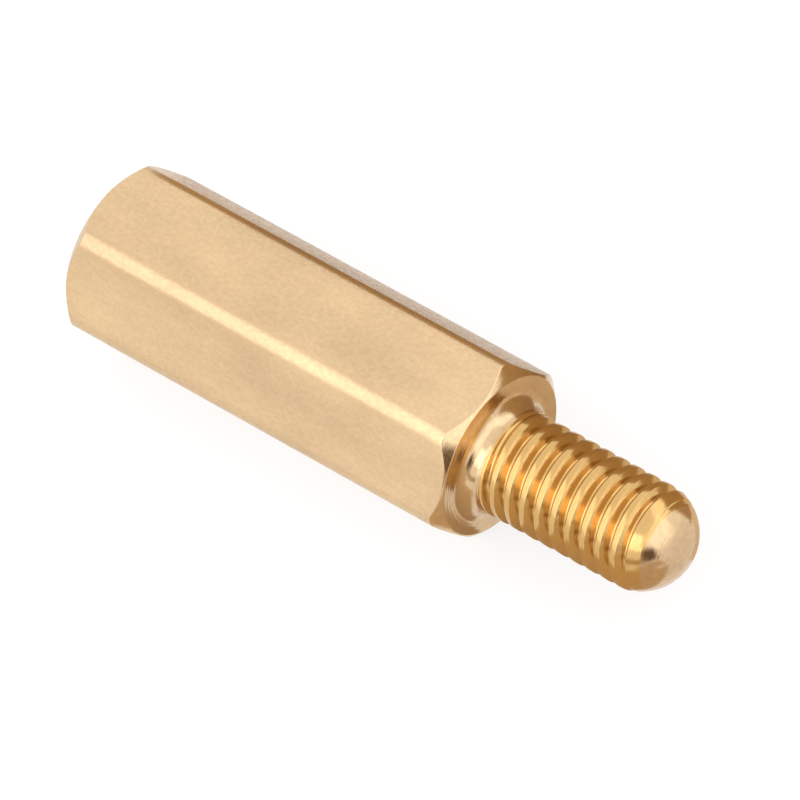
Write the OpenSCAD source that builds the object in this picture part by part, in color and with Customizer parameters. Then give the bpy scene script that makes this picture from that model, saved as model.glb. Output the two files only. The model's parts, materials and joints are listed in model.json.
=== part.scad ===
// Male-female hex standoff, turned in one piece from drawn hex bar.
// One end is turned down to a threaded stud, the other is drilled and tapped.
// It lies on a flat: its axis is X, the stud points to +X, and the centre of
// the shoulder face, where a board seats against the body, is the origin.
// Millimetres. The stud and the hole are plain here, at the diameters of the
// thread's outside and of the tap drill.

/* [Hex body] */
// Width of the bar across its flats
across_flats = 4.7; // [4.5:0.1:7]
// Length of the hex body, from the female end to the shoulder
body_length = 13; // [12:0.5:60]
// Radius of the drawn bar's six long corners
corner_radius = 0.55; // [0.2:0.05:0.8]
// How far each end face stops short of the flats
face_inset = 0.05; // [0.02:0.01:0.2]
// Slope of the end chamfers, from the end face
chamfer_angle = 45; // [25:5:60]

/* [Stud] */
// Outside diameter of the stud's thread
stud_diameter = 2.95; // [2.87:0.01:2.98]
// Length of the stud, from the shoulder to its tip
stud_length = 6.2; // [3:0.1:15]
// Radius of the ball shape that the tip is turned to
tip_radius = 1.5; // [1.5:0.1:3]
// Radius that the turning tool leaves between the stud and the shoulder
root_radius = 0.45; // [0.1:0.05:0.6]

/* [Tapped hole] */
// Diameter of the tap drill, which is the inside of the thread
tap_drill = 2.5; // [2.46:0.01:2.6]
// Depth of the hole from the female end, without the drill's point
hole_depth = 9; // [5:0.5:10]
// Diameter of the countersink where it meets the end face
countersink_diameter = 3.3; // [3:0.1:4]
// Included angle of the countersink
countersink_angle = 90; // [60:5:120]
// Included angle of the drill's point
drill_point_angle = 118; // [90:1:140]

/* [Hidden] */
$fn = 96;
eps = 0.01;
flat_r = across_flats / 2;
face_r = flat_r - face_inset;
stud_r = stud_diameter / 2;
hole_r = tap_drill / 2;
countersink_r = countersink_diameter / 2;
countersink_depth = (countersink_r - hole_r) / tan(countersink_angle / 2);
drill_point_depth = hole_r / tan(drill_point_angle / 2);
// Centre of each corner's arc, and half the width left flat between two arcs
corner_centre = (flat_r - corner_radius) / cos(30);
half_flat = (flat_r - corner_radius) * tan(30);
// How far an arc reaches past the line that it runs into, so that the two cross cleanly
arc_lap = 0.0005;
// Radius to the hexagon's sharp corners, which clears the rounded ones
envelope_r = flat_r / cos(30);
chamfer_run = (envelope_r - face_r) * tan(chamfer_angle);
// Height of the tip's rounded part
dome_height = tip_radius - sqrt(pow(tip_radius, 2) - pow(stud_r, 2));

// Section of the drawn bar, with a flat to each side along X: a sharp
// hexagon, trimmed at its six corners to arcs that run into the flats
module bar_section() {
    intersection() {
        rotate(30)
            circle(r = envelope_r, $fn = 6);
        union() {
            for (k = [0:2])
                rotate(60 * k)
                    square([2 * envelope_r, 2 * half_flat], center = true);
            for (k = [0:5])
                rotate(60 * k + 30)
                    translate([corner_centre, 0])
                        circle(r = corner_radius + arc_lap);
        }
    }
}

// Turned shape that both ends of the bar are cut to: a flat face and a
// conical chamfer, which bites deepest at the six corners
module end_envelope() {
    rotate_extrude()
        polygon([
            [0, 0],
            [face_r, 0],
            [envelope_r, chamfer_run],
            [envelope_r, body_length - chamfer_run],
            [face_r, body_length],
            [0, body_length]
        ]);
}

// Hex body from the female end, at height 0, up to the shoulder
module hex_body() {
    intersection() {
        linear_extrude(body_length) bar_section();
        end_envelope();
    }
}

// Stud with its rounded tip, starting a little inside the body
module stud() {
    rotate_extrude() {
        translate([0, -eps]) square([stud_r, stud_length - dome_height + eps]);
        intersection() {
            translate([0, stud_length - tip_radius]) circle(r = tip_radius);
            translate([0, stud_length - dome_height]) square([stud_r, dome_height]);
        }
        root_section();
    }
}

// Half section of the hollow curve that fills the corner at the stud's root
module root_section() {
    difference() {
        translate([stud_r - eps, -eps]) square(root_radius + eps);
        translate([stud_r + root_radius, root_radius]) circle(r = root_radius + arc_lap);
    }
}

// Blind hole: countersunk mouth, straight bore and the cone of the drill
module tapped_hole() {
    rotate_extrude()
        polygon([
            [0, -eps],
            [countersink_r + eps * tan(countersink_angle / 2), -eps],
            [hole_r, countersink_depth],
            [hole_r, hole_depth],
            [0, hole_depth + drill_point_depth]
        ]);
}

module hex_standoff() {
    color("#d8b070")
        translate([-body_length, 0, 0])
            rotate([0, 90, 0])
                difference() {
                    union() {
                        hex_body();
                        translate([0, 0, body_length]) stud();
                    }
                    tapped_hole();
                }
}

hex_standoff();
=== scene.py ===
import json
from math import cos, pi, radians, sin, tan

import bmesh
import bpy
import numpy as np
from bpy.props import FloatProperty, FloatVectorProperty, PointerProperty
from mathutils import Matrix, Vector


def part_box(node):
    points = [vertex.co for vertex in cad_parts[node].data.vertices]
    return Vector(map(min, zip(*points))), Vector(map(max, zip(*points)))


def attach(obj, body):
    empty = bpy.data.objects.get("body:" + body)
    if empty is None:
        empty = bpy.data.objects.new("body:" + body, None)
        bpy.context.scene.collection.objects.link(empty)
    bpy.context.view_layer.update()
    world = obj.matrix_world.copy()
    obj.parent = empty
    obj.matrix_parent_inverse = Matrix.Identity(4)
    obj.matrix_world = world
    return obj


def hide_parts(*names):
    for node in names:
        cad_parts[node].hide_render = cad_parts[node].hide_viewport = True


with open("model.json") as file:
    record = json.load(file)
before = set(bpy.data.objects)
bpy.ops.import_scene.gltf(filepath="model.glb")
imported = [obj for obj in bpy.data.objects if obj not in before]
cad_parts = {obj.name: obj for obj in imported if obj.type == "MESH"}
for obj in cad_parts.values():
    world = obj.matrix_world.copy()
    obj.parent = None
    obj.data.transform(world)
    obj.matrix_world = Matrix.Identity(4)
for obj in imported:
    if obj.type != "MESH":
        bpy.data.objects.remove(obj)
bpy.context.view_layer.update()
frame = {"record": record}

bl_info = {
    "name": "Hex Standoff",
    "version": (1, 0, 0),
    "blender": (4, 5, 0),
    "location": "View3D > Sidebar > Standoff",
    "description": "Male-female hex standoff in drawn brass, with both of its threads cut",
    "category": "Add Mesh",
}

NODE = "hex_standoff"
MM = 0.001
LOW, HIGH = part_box(NODE)
MOUNTS = {mount["name"]: mount for mount in frame["record"]["mounts"]}
FULL_TURN = 2 * pi
SIXTH = pi / 3
FLANK = radians(30)  # half the angle between a metric thread's flanks
WELD = 0.001 * MM  # points closer than this are one
EASE_STEPS = 4  # faces across each rounded edge
RUN_OUT = 0.06 * MM  # how far the stud's thread rows reach past the groove's end on the tip
ROOT_GAP = 0.005 * MM  # between the root's last ring and the stud's first thread row
DRAWN, TURNED, THREAD = 0, 1, 2  # the three finishes, by material slot


# ---------------------------------------------------------------- settings


def length(name, description, default):
    """A length in metres, shown in the scene's own unit."""
    return FloatProperty(
        name=name, description=description, default=default, min=0.0, precision=5,
        subtype="DISTANCE", unit="LENGTH",
    )


def angle(name, description, degrees):
    """An angle, given in degrees and kept in radians."""
    return FloatProperty(
        name=name, description=description, default=radians(degrees),
        subtype="ANGLE", unit="ROTATION",
    )


def share(name, description, default):
    """A plain number from 0 to 1."""
    return FloatProperty(
        name=name, description=description, default=default, min=0.0, max=1.0,
        subtype="FACTOR",
    )


def colour(name, description, default):
    """A colour in linear light."""
    return FloatVectorProperty(
        name=name, description=description, default=default, size=3, min=0.0, max=1.0,
        subtype="COLOR",
    )


class HexBodySettings(bpy.types.PropertyGroup):
    """Hexagonal body, from the female end to the shoulder"""

    across_flats: length("Across flats", "Width of the bar across its flats", HIGH.z - LOW.z)
    body_length: length("Length", "From the female end to the shoulder", -LOW.x)
    corner_radius: length("Corner radius", "Radius of the bar's long corners", 0.55 * MM)
    face_inset: length("Face inset", "How far an end face stops short of the flats", 0.05 * MM)
    chamfer_angle: angle("Chamfer angle", "Slope of the end chamfers, from the end face", 45)
    edge_break: length("Edge break", "How far the worn edges reach to each side", 0.03 * MM)


class StudSettings(bpy.types.PropertyGroup):
    """Threaded stud"""

    diameter: length("Diameter", "Outside diameter of the thread", 2 * MOUNTS["stud"]["dims"]["r_mm"] * MM)
    stud_length: length("Length", "From the shoulder to the tip", HIGH.x)
    tip_radius: length("Tip radius", "Radius of the ball shape at the tip", 1.5 * MM)
    root_radius: length("Root radius", "Radius of the hollow between stud and shoulder", 0.45 * MM)
    pitch: length("Pitch", "Distance between neighbouring threads", 0.5 * MM)
    groove_depth: length("Groove depth", "Depth of the full thread", 0.23 * MM)
    groove_radius: length("Groove radius", "Radius at the bottom of the groove", 0.06 * MM)
    start: length("Start", "Where the groove starts to show, from the shoulder", 0.46 * MM)
    fade: length("Fade", "Length over which the groove reaches its full depth", 0.3 * MM)
    turned_by: angle("Turned by", "Turns the thread about the axis", -45)


class TappedHoleSettings(bpy.types.PropertyGroup):
    """Tapped hole in the female end"""

    drill_diameter: length("Drill", "Diameter of the tap drill", 2 * MOUNTS["tapped_hole"]["dims"]["r_mm"] * MM)
    hole_depth: length("Hole depth", "Depth of the drilled hole, without its point", 9 * MM)
    point_angle: angle("Point angle", "Included angle of the drill's point", 118)
    countersink_diameter: length("Countersink", "Diameter of the countersink at the end face", 3.3 * MM)
    countersink_angle: angle("Countersink angle", "Included angle of the countersink", 90)
    pitch: length("Pitch", "Distance between neighbouring threads", 0.5 * MM)
    groove_depth: length("Groove depth", "Depth of the full thread", 0.26 * MM)
    groove_radius: length("Groove radius", "Radius at the bottom of the groove", 0.04 * MM)
    thread_depth: length("Thread depth", "Depth to which the hole is tapped", 7.6 * MM)
    fade: length("Fade", "Length over which the groove fades out at its inner end", 1.0 * MM)


class BrassSettings(bpy.types.PropertyGroup):
    """Drawn and turned brass"""

    tint: colour("Tint", "Colour of the drawn and turned faces", (0.73, 0.525, 0.30))
    warm_tint: colour("Warm tint", "Duller, pinker colour that they drift to in patches", (0.54, 0.365, 0.215))
    thread_tint: colour("Thread tint", "Colour of the freshly cut thread", (0.65, 0.415, 0.165))
    thread_warm_tint: colour("Warm thread tint", "Colour that the thread drifts to", (0.58, 0.355, 0.13))
    drawn_roughness: share("Drawn roughness", "Roughness of the drawn flats", 0.28)
    turned_roughness: share("Turned roughness", "Roughness of the turned faces", 0.17)
    thread_roughness: share("Thread roughness", "Roughness of the cut thread", 0.18)


class StudioSettings(bpy.types.PropertyGroup):
    """Camera, floor and lamps"""

    azimuth: angle("Azimuth", "Direction of the camera round the object", 54.7)
    elevation: angle("Elevation", "Height of the camera above the floor", 53.8)
    roll: angle("Roll", "How far the picture's upright leans to its left", 19.8)
    distance: length("Distance", "From the camera to the object's middle", 264 * MM)
    lens: FloatProperty(name="Lens", description="Focal length of the lens", default=455, unit="CAMERA")
    world: FloatProperty(name="World", description="Brightness all round", default=1.25, min=0.0)
    key: FloatProperty(name="Key lamp", description="Radiance of the left softbox", default=0.7, min=0.0)
    front: FloatProperty(name="Front lamp", description="Radiance of the front softbox", default=1.1, min=0.0)
    fill: FloatProperty(name="Fill lamp", description="Radiance of the right softbox", default=0.5, min=0.0)
    back: FloatProperty(name="Back lamp", description="Radiance of the back softbox", default=0.5, min=0.0)
    floor_tone: share("Floor tone", "Lightness of the floor", 0.2)
    floor_glow: share("Floor glow", "Light that comes up through the floor, as on a light table", 0.76)
    # The four card colours below are painted reflections: the cards show only in the metal, as painted dark
    # surroundings and painted shade of the floor under and around the stud.
    painted_dark_reflection: colour("Dark card", "Colour of the card in front of the stud", (0.12, 0.07, 0.03))
    painted_mid_reflection: colour("Middle card", "Colour of the cards to the left and on the floor in front", (0.48, 0.37, 0.24))
    painted_pale_floor_shade: colour("Light card", "Colour of the card on the floor behind the stud", (0.64, 0.52, 0.37))
    painted_back_reflection: colour("Back card", "Colour of the card that stands behind the standoff", (0.40, 0.27, 0.13))


# ---------------------------------------------------------------- outlines


def column_angles(flat_radius, corner_radius, per_flat=20, per_corner=12):
    """Angles round the axis for the columns of the grid, starting at the corner on +Y.

    In each corner they are the angles at which even steps of its arc are seen from the axis, and across each flat they
    are even steps between two such arcs. The last angle is the first one, a full turn on.
    """
    centre = (flat_radius - corner_radius) / cos(SIXTH / 2)
    arc = np.linspace(-SIXTH / 2, SIXTH / 2, per_corner + 1)
    corner = np.arctan2(corner_radius * np.sin(arc), centre + corner_radius * np.cos(arc))
    flat = np.linspace(corner[-1], SIXTH + corner[0], per_flat + 1)[1:-1]
    sixth = np.concatenate([corner, flat])
    turned = (sixth + SIXTH * np.arange(6)[:, None]).ravel()
    return np.append(turned, turned[0] + FULL_TURN)


def hexagon_radius(turn, flat_radius, corner_radius):
    """Distance from the axis to the rounded hexagon at each angle.

    On a flat it is the flat's distance over the cosine of the angle from the flat's middle. In a corner it is the far
    crossing of the ray with the corner's circle: centre * cos(a) + sqrt(radius^2 - (centre * sin(a))^2).
    """
    centre = (flat_radius - corner_radius) / cos(SIXTH / 2)
    from_corner = np.abs((turn + SIXTH / 2) % SIXTH - SIXTH / 2)
    tangent = np.arctan2(corner_radius * sin(SIXTH / 2), centre + corner_radius * cos(SIXTH / 2))
    inside = np.maximum(corner_radius ** 2 - (centre * np.sin(from_corner)) ** 2, 0)
    in_corner = centre * np.cos(from_corner) + np.sqrt(inside)
    on_flat = flat_radius / np.cos(SIXTH / 2 - from_corner)
    return np.where(from_corner <= tangent, in_corner, on_flat)


def eased(points, reach):
    """A profile with each inner corner replaced by a parabola.

    points is (corner, x or r, column). Each parabola starts and ends `reach` from its corner, or 0.45 of the way to the
    next one if that is less, and is (1-t)^2 * start + 2t(1-t) * corner + t^2 * end.
    """
    before, corner, after = points[:-2], points[1:-1], points[2:]
    reach = np.asarray(reach)[:, None]

    def towards(other):
        away = other - corner
        distance = np.linalg.norm(away, axis=1)
        return corner + away * (np.minimum(reach, 0.45 * distance) / distance)[:, None]

    t = np.linspace(0, 1, EASE_STEPS + 1)[:, None, None]
    start, end = towards(before)[:, None], towards(after)[:, None]
    arcs = (1 - t) ** 2 * start + 2 * t * (1 - t) * corner[:, None] + t ** 2 * end
    return np.concatenate([points[:1], arcs.reshape(-1, *points.shape[1:]), points[-1:]])


def rings(x, r, turn):
    """Rows that are plain rings, as (row, x or r, column)."""
    x, r = np.broadcast_arrays(np.asarray(x, float), np.asarray(r, float))
    return np.stack([x, r], axis=1)[:, :, None] * np.ones(len(turn))


def thread_rows(turn, pitch, outline, floor, side, span, groove_radius, edge=0.008 * MM):
    """Rows of a right-hand thread between two rings, as (row, x or r, column).

    Each row follows one place in the groove along the helix x = pitch * angle / full turn. The groove has straight
    flanks at 30 degrees to the radius and an arc at its bottom. Its mouth is where the flanks meet the turned outline,
    so half its width there is arc radius * cos 30 + (depth - arc radius / 2) * tan 30. The mouth's two edges are broken
    by a parabola, from `edge` outside the mouth to `edge` down the flank. Where the groove is shallower than `least`,
    its rows keep their places and sink by less, so that it fades out smoothly. outline and floor give the radius of the
    blank and of the groove's bottom at any x, side is 1 for a stud and -1 for a hole, and rows that would pass either
    end of `span` stop there.
    """
    first = int((span[0] / pitch) // 1) - 2
    last = int((span[1] / pitch) // 1) + 2
    centre = pitch * (np.arange(first, last)[:, None, None] + turn / FULL_TURN)
    least = groove_radius / 2 + edge * 1.3  # a shallower groove has no room for its arc and its broken edges

    arc = np.radians([-60.0, -30.0, 0.0, 30.0, 60.0])[:, None]
    across, rise = groove_radius * np.sin(arc), groove_radius * (1 - np.cos(arc))
    t = np.array([0.0, 0.5, 1.0])[:, None]
    outward = edge * ((1 - t) ** 2 - t ** 2 * sin(FLANK))
    sunk = edge * t ** 2 * cos(FLANK)

    def depth(x):
        return side * (outline(x) - floor(x))

    def mouth(x):
        half = groove_radius * cos(FLANK) + (np.maximum(depth(x), least) - groove_radius / 2) * tan(FLANK)
        return half + outward

    left, right = centre - mouth(centre), centre + mouth(centre)
    for _ in range(4):
        left, right = centre - mouth(left), centre + mouth(right)

    def rows(x, below):
        x = np.clip(x, *span)
        full = np.maximum(depth(x), least)
        shown = np.maximum(depth(x), 0) / full
        return x, outline(x) - side * below(full) * shown

    parts = [
        rows(left, lambda full: sunk),
        rows(centre + across, lambda full: full - rise),
        rows(right[:, ::-1], lambda full: sunk[::-1]),
    ]
    x = np.concatenate([part[0] for part in parts], axis=1)
    r = np.concatenate([part[1] for part in parts], axis=1)
    return np.stack([x.reshape(-1, len(turn)), r.reshape(-1, len(turn))], axis=1)


# ---------------------------------------------------------------- the standoff's own surface


def stud_rows(stud, turn):
    """Rows from the middle of the tip to the end of the thread, as the tip's and the thread's.

    The blank is a cylinder whose end is part of a ball, r = sqrt(tip radius^2 - (x - centre)^2). The thread's rows
    reach a little past the place where the ball is as narrow as the groove's bottom, so that the groove runs out there.
    """
    radius, ball = stud.diameter / 2, stud.tip_radius
    centre = stud.stud_length - ball
    bottom = radius - stud.groove_depth

    def outline(x):
        return np.minimum(radius, np.sqrt(np.maximum(ball ** 2 - np.maximum(x - centre, 0) ** 2, 0)))

    def floor(x):
        return bottom + stud.groove_depth * np.clip(1 - (x - stud.start) / stud.fade, 0, 1)

    thread_end = centre + np.sqrt(ball ** 2 - bottom ** 2) + RUN_OUT
    polar = np.linspace(0, np.arccos((thread_end - centre) / ball), 12)
    tip = rings(centre + ball * np.cos(polar), ball * np.sin(polar), turn)
    span = (stud.root_radius + ROOT_GAP, thread_end)
    thread = thread_rows(turn + stud.turned_by, stud.pitch, outline, floor, 1, span, stud.groove_radius)
    return tip, thread[::-1]


def root_rows(stud, turn):
    """Rows round the hollow between the stud and the shoulder face.

    They follow a quarter circle whose centre lies one root radius out from both.
    """
    bend = np.linspace(0, pi / 2, 8, endpoint=False)
    x = stud.root_radius * (1 - np.sin(bend))
    r = stud.diameter / 2 + stud.root_radius * (1 - np.cos(bend))
    return rings(x, r, turn)


def body_rows(body, stud, hole, turn):
    """Rows over the shoulder, the hexagonal bar and the female end, as the turned, drawn and turned ones.

    At each angle the profile is a polyline: up the shoulder face, down the cone of the chamfer to where it meets the
    hexagon, along the bar, and the same in reverse at the other end. The finish changes half way round the rounded edge
    between chamfer and bar.
    """
    ones = np.ones(len(turn))
    flat_radius = body.across_flats / 2
    face = flat_radius - body.face_inset
    bar = hexagon_radius(turn, flat_radius, body.corner_radius)
    run = (bar - face) * tan(body.chamfer_angle)
    end = -body.body_length
    inset = 0.5 * MM  # from each chamfer to the bar's first plain ring
    seat = stud.diameter / 2 + stud.root_radius
    mouth = hole.countersink_diameter / 2
    step = 0.08 * MM  # how far the female end's profile runs down the countersink
    edge = body.edge_break

    shoulder = np.array([
        [0 * ones, seat * ones],
        [0 * ones, face * ones],
        [-run, bar],
        [-run - inset, bar],
    ])
    female = np.array([
        [end + run + inset, bar],
        [end + run, bar],
        [end * ones, face * ones],
        [end * ones, mouth * ones],
        [(end + step) * ones, (mouth - step * tan(hole.countersink_angle / 2)) * ones],
    ])
    along = np.linspace(0, 1, 9)[1:-1, None, None]
    sides = shoulder[-1] + along * (female[0] - shoulder[-1])
    shoulder, female = eased(shoulder, [edge, edge]), eased(female, [edge, edge, edge])
    drawn = EASE_STEPS // 2 + 1
    bar_rows = np.concatenate([shoulder[-drawn:], sides, female[:drawn + 1]])
    return shoulder[:-drawn], bar_rows, female[drawn + 1:]


def hole_rows(hole, body, turn):
    """Rows of the tapped hole, from inside its countersink to the middle of the drill's point.

    The blank is the drilled bore with the countersink's cone, r = mouth - (x - end) * slope. The thread's rows start
    just before the groove's bottom meets the cone and stop just past the depth to which the hole is tapped.
    """
    radius = hole.drill_diameter / 2
    mouth = hole.countersink_diameter / 2
    slope = tan(hole.countersink_angle / 2)
    end = -body.body_length
    top = radius + hole.groove_depth
    tapped_to = end + hole.thread_depth
    bottom = end + hole.hole_depth

    def outline(x):
        return np.maximum(radius, mouth - (x - end) * slope)

    def floor(x):
        return radius + (top - radius) * np.clip((tapped_to - x) / hole.fade, 0, 1)

    span = (end + (mouth - top) / slope - 0.04 * MM, tapped_to + 0.1 * MM)
    thread = thread_rows(turn, hole.pitch, outline, floor, -1, span, hole.groove_radius)
    point = bottom + radius / tan(hole.point_angle / 2)
    drilled = rings([bottom, point], [radius, 0], turn)
    return thread, drilled


def standoff_surface(settings):
    """All rows of the standoff's one closed surface, from the tip's pole to the drill point's, with their finishes."""
    body, stud, hole = settings.hex_body, settings.stud, settings.tapped_hole
    turn = column_angles(body.across_flats / 2, body.corner_radius)
    tip, outer_thread = stud_rows(stud, turn)
    shoulder, bar, female = body_rows(body, stud, hole, turn)
    inner_thread, drilled = hole_rows(hole, body, turn)
    parts = [
        (tip, TURNED), (outer_thread, THREAD), (root_rows(stud, turn), TURNED), (shoulder, TURNED), (bar, DRAWN),
        (female, TURNED), (inner_thread, THREAD), (drilled, TURNED),
    ]
    rows = np.concatenate([part for part, _ in parts])
    finish = np.concatenate([np.full(len(part), kind) for part, kind in parts])
    return turn, rows, finish


def grid_mesh(name, turn, rows, finish):
    """A closed mesh from rows of (x, r) at the given angles: each point is (x, r * cos angle, r * sin angle).

    Four neighbours make a face, with the finish of its second row. The last column repeats the first, one pitch further
    on where the rows are helical, and points that meet are welded, which closes the seam, the poles and the rows that
    stop at a ring.
    """
    x, r = rows[:, 0], rows[:, 1]
    points = np.stack([x, r * np.cos(turn), r * np.sin(turn)], axis=-1)
    count, columns = x.shape
    index = np.arange(count * columns).reshape(count, columns)
    faces = np.stack([index[:-1, :-1], index[1:, :-1], index[1:, 1:], index[:-1, 1:]], axis=-1)
    kinds = np.repeat(finish[1:], columns - 1)

    mesh = bpy.data.meshes.new(name)
    mesh.from_pydata(points.reshape(-1, 3), [], faces.reshape(-1, 4))
    mesh.polygons.foreach_set("material_index", kinds.astype(np.int32))
    welded = bmesh.new()
    welded.from_mesh(mesh)
    bmesh.ops.remove_doubles(welded, verts=welded.verts, dist=WELD)
    welded.to_mesh(mesh)
    welded.free()
    mesh.shade_smooth()
    return mesh


def count_open_edges(mesh):
    """How many edges of a mesh aren't shared by exactly two faces."""
    edge_of_loop = np.empty(len(mesh.loops), np.int32)
    mesh.loops.foreach_get("edge_index", edge_of_loop)
    return int(np.count_nonzero(np.bincount(edge_of_loop, minlength=len(mesh.edges)) != 2))


# ---------------------------------------------------------------- finishes


class Nodes:
    """Adds nodes to a material's tree and links them, one call a node."""

    def __init__(self, tree):
        self.tree = tree

    def fill(self, socket, value):
        """Link a socket to another one, or set it to a plain value."""
        if isinstance(value, bpy.types.NodeSocket):
            self.tree.links.new(value, socket)
        else:
            socket.default_value = value

    def add(self, kind, **inputs):
        """A new node, whose inputs are named in words."""
        node = self.tree.nodes.new(kind)
        for name, value in inputs.items():
            self.fill(node.inputs[name.replace("_", " ")], value)
        return node

    def math(self, operation, first, second=0.0):
        """One sum, product or other operation on two numbers."""
        node = self.tree.nodes.new("ShaderNodeMath")
        node.operation = operation
        self.fill(node.inputs[0], first)
        self.fill(node.inputs[1], second)
        return node.outputs[0]

    def total(self, *parts):
        """The sum of several (share, value) pairs, each value times its share."""
        result = self.math("MULTIPLY", parts[0][1], parts[0][0])
        for weight, value in parts[1:]:
            result = self.math("ADD", result, self.math("MULTIPLY", value, weight))
        return result

    def noise(self, vector, scale, detail=2.0, stretch=(1.0, 1.0, 1.0)):
        """Soft noise of about `scale` spots a millimetre, drawn out along an axis by a smaller stretch."""
        mapping = self.add("ShaderNodeMapping", Vector=vector, Scale=stretch)
        node = self.add("ShaderNodeTexNoise", Vector=mapping.outputs[0], Scale=scale, Detail=detail)
        return node.outputs[0]

    def line_noise(self, value, scale, detail=2.0):
        """Noise that changes only with one number."""
        node = self.tree.nodes.new("ShaderNodeTexNoise")
        node.noise_dimensions = "1D"
        self.fill(node.inputs["W"], value)
        self.fill(node.inputs["Scale"], scale)
        self.fill(node.inputs["Detail"], detail)
        return node.outputs[0]

    def spread(self, value, low, high):
        """A soft noise, which lies mostly between 0.3 and 0.7, carried to the range from low to high."""
        node = self.add("ShaderNodeMapRange", Value=value, From_Min=0.3, From_Max=0.7, To_Min=low, To_Max=high)
        return node.outputs[0]


def new_material(name):
    """An empty material, its Nodes and its Principled shader."""
    material = bpy.data.materials.new(name)
    material.use_nodes = True
    return material, Nodes(material.node_tree), material.node_tree.nodes["Principled BSDF"]


def brass(name, tints, roughness, marks, depth, unevenness):
    """Bare brass: metal whose colour drifts in soft patches, with tool marks of the given depth in millimetres.

    marks makes the nodes for the marks' height and for a second pattern, by which the roughness strays by `unevenness`
    to each side and the colour from the first tint towards the second.
    """
    material, nodes, shader = new_material(name)
    coordinates = nodes.add("ShaderNodeTexCoord")
    at = nodes.add("ShaderNodeMapping", Vector=coordinates.outputs["Object"], Scale=(1 / MM,) * 3).outputs[0]
    height, cloud = marks(nodes, at)
    patches = nodes.noise(at, 0.6, 3.0, (0.4, 1.0, 1.0))
    mix = nodes.tree.nodes.new("ShaderNodeMix")
    mix.data_type = "RGBA"
    nodes.fill(mix.inputs["Factor"], nodes.spread(nodes.total((0.6, patches), (0.4, cloud)), 0.0, 1.0))
    nodes.fill(mix.inputs["A"], (*tints[0], 1))
    nodes.fill(mix.inputs["B"], (*tints[1], 1))
    nodes.fill(shader.inputs["Base Color"], mix.outputs["Result"])
    nodes.fill(shader.inputs["Metallic"], 1.0)
    nodes.fill(shader.inputs["Roughness"], nodes.spread(cloud, roughness - unevenness, roughness + unevenness))
    bump = nodes.add("ShaderNodeBump", Height=height, Distance=depth * MM, Strength=1.0)
    nodes.fill(shader.inputs["Normal"], bump.outputs[0])
    return material


def drawn_grain(nodes, at):
    """Fine lines along the bar, with a stipple over them."""
    fine = nodes.noise(at, 16.0, 2.0, (0.03, 1.0, 1.0))
    broad = nodes.noise(at, 4.0, 2.0, (0.02, 1.0, 1.0))
    stipple = nodes.noise(at, 9.0, 3.0, (0.7, 1.0, 1.0))
    return nodes.total((0.35, fine), (0.5, broad), (0.6, stipple)), stipple


def turned_rings(nodes, at):
    """Rings round the axis, as a lathe tool leaves them: noise that changes only with radius - 0.8 * x."""
    parts = nodes.add("ShaderNodeSeparateXYZ", Vector=at)
    across = nodes.math("POWER", parts.outputs["Y"], 2.0)
    up = nodes.math("POWER", parts.outputs["Z"], 2.0)
    radius = nodes.math("SQRT", nodes.math("ADD", across, up))
    place_on_profile = nodes.total((1.0, radius), (-0.8, parts.outputs["X"]))
    return nodes.line_noise(place_on_profile, 12.0, 3.0), nodes.noise(at, 6.0)


def thread_marks(nodes, at):
    """Faint streaks that the die leaves along the thread, over an almost smooth surface."""
    parts = nodes.add("ShaderNodeSeparateXYZ", Vector=at)
    streaks = nodes.line_noise(parts.outputs["X"], 30.0)
    mottle = nodes.noise(at, 7.0, 3.0)
    return nodes.total((0.3, streaks), (0.7, mottle)), mottle


def brass_finishes(settings):
    """The three finishes, in the order of DRAWN, TURNED and THREAD."""
    plain = (settings.tint, settings.warm_tint)
    cut = (settings.thread_tint, settings.thread_warm_tint)
    return [
        brass("drawn_brass", plain, settings.drawn_roughness, drawn_grain, depth=0.006, unevenness=0.05),
        brass("turned_brass", plain, settings.turned_roughness, turned_rings, depth=0.004, unevenness=0.04),
        brass("thread_brass", cut, settings.thread_roughness, thread_marks, depth=0.004, unevenness=0.05),
    ]


def plain_material(name, tone, glow=0.0):
    """A matt material of one colour, which may glow white."""
    material, _, shader = new_material(name)
    shader.inputs["Base Color"].default_value = (*tone, 1)
    shader.inputs["Roughness"].default_value = 0.9
    shader.inputs["Emission Color"].default_value = (1, 1, 1, 1)
    shader.inputs["Emission Strength"].default_value = glow
    return material


# ---------------------------------------------------------------- operators


def add_object(name, data):
    """A new object at the origin, in the scene's own collection."""
    made = bpy.data.objects.new(name, data)
    bpy.context.scene.collection.objects.link(made)
    return made


class STANDOFF_OT_make_standoff(bpy.types.Operator):
    """Make the standoff as one closed surface, with both of its threads"""

    bl_idname = "standoff.make_standoff"
    bl_label = "Make Standoff"

    def execute(self, context):
        settings = context.scene.standoff
        mesh = grid_mesh(NODE, *standoff_surface(settings))
        open_edges = count_open_edges(mesh)
        if open_edges:
            raise RuntimeError(f"the standoff's surface isn't closed at {open_edges} edges")
        for material in brass_finishes(settings.brass):
            mesh.materials.append(material)
        piece = add_object("standoff_body", mesh)
        piece.modifiers.new("Even shading", "WEIGHTED_NORMAL")
        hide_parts(NODE)
        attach(piece, "root")
        return {"FINISHED"}


def direction(azimuth, elevation):
    """Unit vector that points so many degrees round from -Y towards +X, and so many above the floor."""
    around, above = radians(azimuth), radians(elevation)
    return Vector((sin(around) * cos(above), -cos(around) * cos(above), sin(above)))


def flat_sheet(name, corners, material):
    """A flat sheet through four corners."""
    mesh = bpy.data.meshes.new(name)
    mesh.from_pydata(corners, [], [(0, 1, 2, 3)])
    mesh.materials.append(material)
    sheet = add_object(name, mesh)
    return sheet


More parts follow.
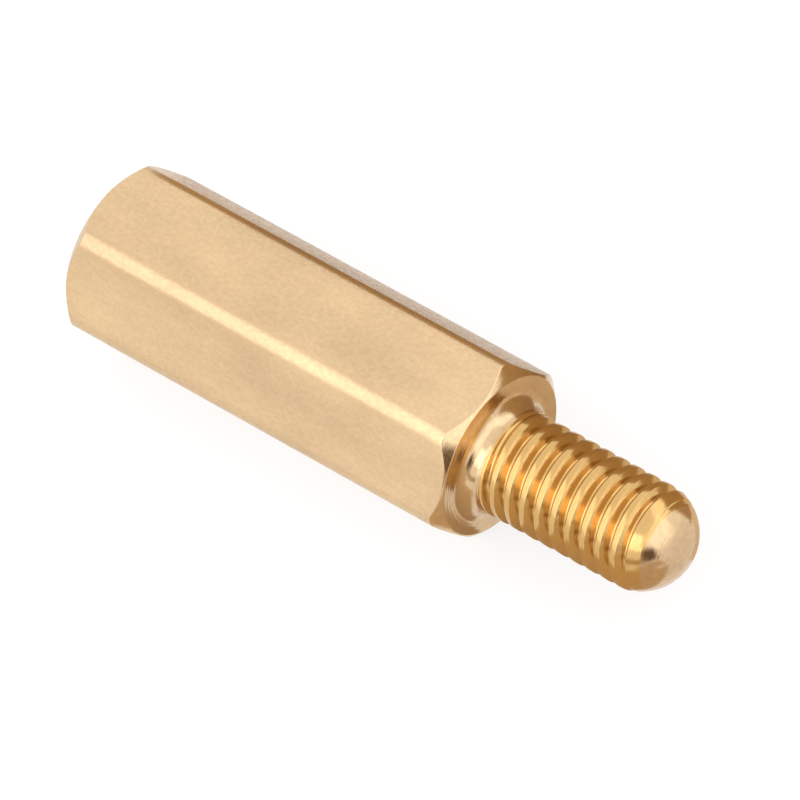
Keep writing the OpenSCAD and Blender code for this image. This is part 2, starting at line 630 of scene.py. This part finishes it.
def add_softbox(name, azimuth, elevation, width, height, brightness, target):
    """A large rectangular lamp half a metre away, facing the target; brightness is its radiance."""
    lamp = bpy.data.lights.new(name, "AREA")
    lamp.shape = "RECTANGLE"
    lamp.size, lamp.size_y = width, height
    lamp.energy = brightness * pi * width * height
    made = add_object(name, lamp)
    towards = direction(azimuth, elevation)
    made.location = target + towards * 0.5
    made.rotation_euler = towards.to_track_quat("Z", "Y").to_euler()
    made.visible_camera = False


def add_painted_reflection_card(name, foot, across, up, material):
    """A card that shows only in reflections, a painted reflection that gives the bright metal its darker lines where
    dark surroundings and shaded floor would be; given in millimetres.
    """
    foot, half, up = (Vector(value) * MM for value in (foot, across * 0.5, up))
    card = flat_sheet(name, (foot - half, foot + half, foot + half + up, foot - half + up), material)
    card.visible_camera = card.visible_diffuse = card.visible_shadow = False


def add_camera(studio, target):
    """A camera that looks at the target, rolled so that the picture's upright leans to its left."""
    around = studio.azimuth
    back = Vector((sin(around) * cos(studio.elevation), -cos(around) * cos(studio.elevation), sin(studio.elevation)))
    level = Vector((cos(around), sin(around), 0))
    upright = back.cross(level)
    right = level * cos(studio.roll) - upright * sin(studio.roll)
    up = level * sin(studio.roll) + upright * cos(studio.roll)
    camera = add_object("camera", bpy.data.cameras.new("camera"))
    camera.data.lens = studio.lens
    camera.data.clip_start, camera.data.clip_end = 1 * MM, 10
    turned = Matrix((right, up, back)).transposed().to_4x4()
    camera.matrix_world = Matrix.Translation(target + back * studio.distance) @ turned
    return camera


class STANDOFF_OT_build_stage(bpy.types.Operator):
    """Build the pale floor, the soft lamps and the camera"""

    bl_idname = "standoff.build_stage"
    bl_label = "Build Stage"

    def execute(self, context):
        studio = context.scene.standoff.studio
        target = (LOW + HIGH) / 2
        half = 2.0  # metres, half the floor's width
        corners = [(x, y, LOW.z) for x, y in ((-half, -half), (half, -half), (half, half), (-half, half))]
        flat_sheet("floor", corners, plain_material("floor", (studio.floor_tone,) * 3, studio.floor_glow))

        add_softbox("left_softbox", -36, 39, 0.62, 0.52, studio.key, target)
        add_softbox("front_softbox", 13, 42, 0.4, 0.3, studio.front, target)
        add_softbox("right_softbox", 92, 34, 0.6, 0.4, studio.fill, target)
        add_softbox("back_softbox", 155, 46, 0.4, 0.26, studio.back, target)
        ground = LOW.z / MM
        # Painted reflections: cards that show only in the metal, never to the camera, in diffuse light or as shadow.
        dark = plain_material("painted_dark_reflection", studio.painted_dark_reflection)
        middle = plain_material("painted_mid_reflection_card", studio.painted_mid_reflection)
        light = plain_material("painted_pale_floor_shade", studio.painted_pale_floor_shade)
        behind = plain_material("painted_back_reflection", studio.painted_back_reflection)
        # Standing cards: painted dark reflections of the surroundings in front, to the left and behind the standoff.
        add_painted_reflection_card("front_painted_reflection", (38, -26, ground), direction(147, 0) * 22, (0, 0, 20), dark)
        add_painted_reflection_card("left_painted_reflection", (11, -27, ground), direction(107, 0) * 30, (0, 0, 5), middle)
        add_painted_reflection_card("painted_back_reflection", (-3.5, 5.5, ground), Vector((23, 0, 0)), (0, 0, 6.2), behind)
        # Floor cards: painted shade of the floor under and around the stud, seen only in the metal.
        add_painted_reflection_card("front_painted_floor_shade", (10, -6, ground + 0.02), direction(150, 0) * 9, direction(60, 0) * 14, middle)
        add_painted_reflection_card("back_painted_floor_shade", (3.6, 1.0, ground + 0.01), Vector((6.6, 0, 0)), (0, 4.4, 0), light)
        add_painted_reflection_card("near_painted_floor_shade", (5.4, -8.0, ground + 0.01), Vector((10.2, 0, 0)), (0, 6.8, 0), middle)

        world = bpy.data.worlds.new("studio")
        world.use_nodes = True
        world.node_tree.nodes["Background"].inputs["Color"].default_value = (1, 1, 1, 1)
        world.node_tree.nodes["Background"].inputs["Strength"].default_value = studio.world
        context.scene.world = world
        context.scene.view_settings.view_transform = "Standard"
        context.scene.camera = add_camera(studio, target)
        return {"FINISHED"}


class STANDOFF_PT_sidebar(bpy.types.Panel):
    """Lists the standoff's operators and settings"""

    bl_label = "Standoff"
    bl_idname = "STANDOFF_PT_sidebar"
    bl_space_type = "VIEW_3D"
    bl_region_type = "UI"
    bl_category = "Standoff"

    def draw(self, context):
        layout = self.layout
        settings = context.scene.standoff
        layout.operator(STANDOFF_OT_make_standoff.bl_idname)
        layout.operator(STANDOFF_OT_build_stage.bl_idname)
        for group in ("hex_body", "stud", "tapped_hole", "brass", "studio"):
            box = layout.box()
            box.label(text=group.replace("_", " ").capitalize())
            values = getattr(settings, group)
            for name in values.__annotations__:
                box.prop(values, name)


class StandoffSettings(bpy.types.PropertyGroup):
    """All settings of the standoff and its stage"""

    hex_body: PointerProperty(type=HexBodySettings)
    stud: PointerProperty(type=StudSettings)
    tapped_hole: PointerProperty(type=TappedHoleSettings)
    brass: PointerProperty(type=BrassSettings)
    studio: PointerProperty(type=StudioSettings)


CLASSES = (
    HexBodySettings, StudSettings, TappedHoleSettings, BrassSettings, StudioSettings, StandoffSettings,
    STANDOFF_OT_make_standoff, STANDOFF_OT_build_stage, STANDOFF_PT_sidebar,
)


def register():
    for cls in CLASSES:
        bpy.utils.register_class(cls)
    bpy.types.Scene.standoff = PointerProperty(type=StandoffSettings)


def unregister():
    del bpy.types.Scene.standoff
    for cls in reversed(CLASSES):
        bpy.utils.unregister_class(cls)


def main():
    register()
    bpy.ops.standoff.make_standoff()
    bpy.ops.standoff.build_stage()


if __name__ == "__main__":
    main()
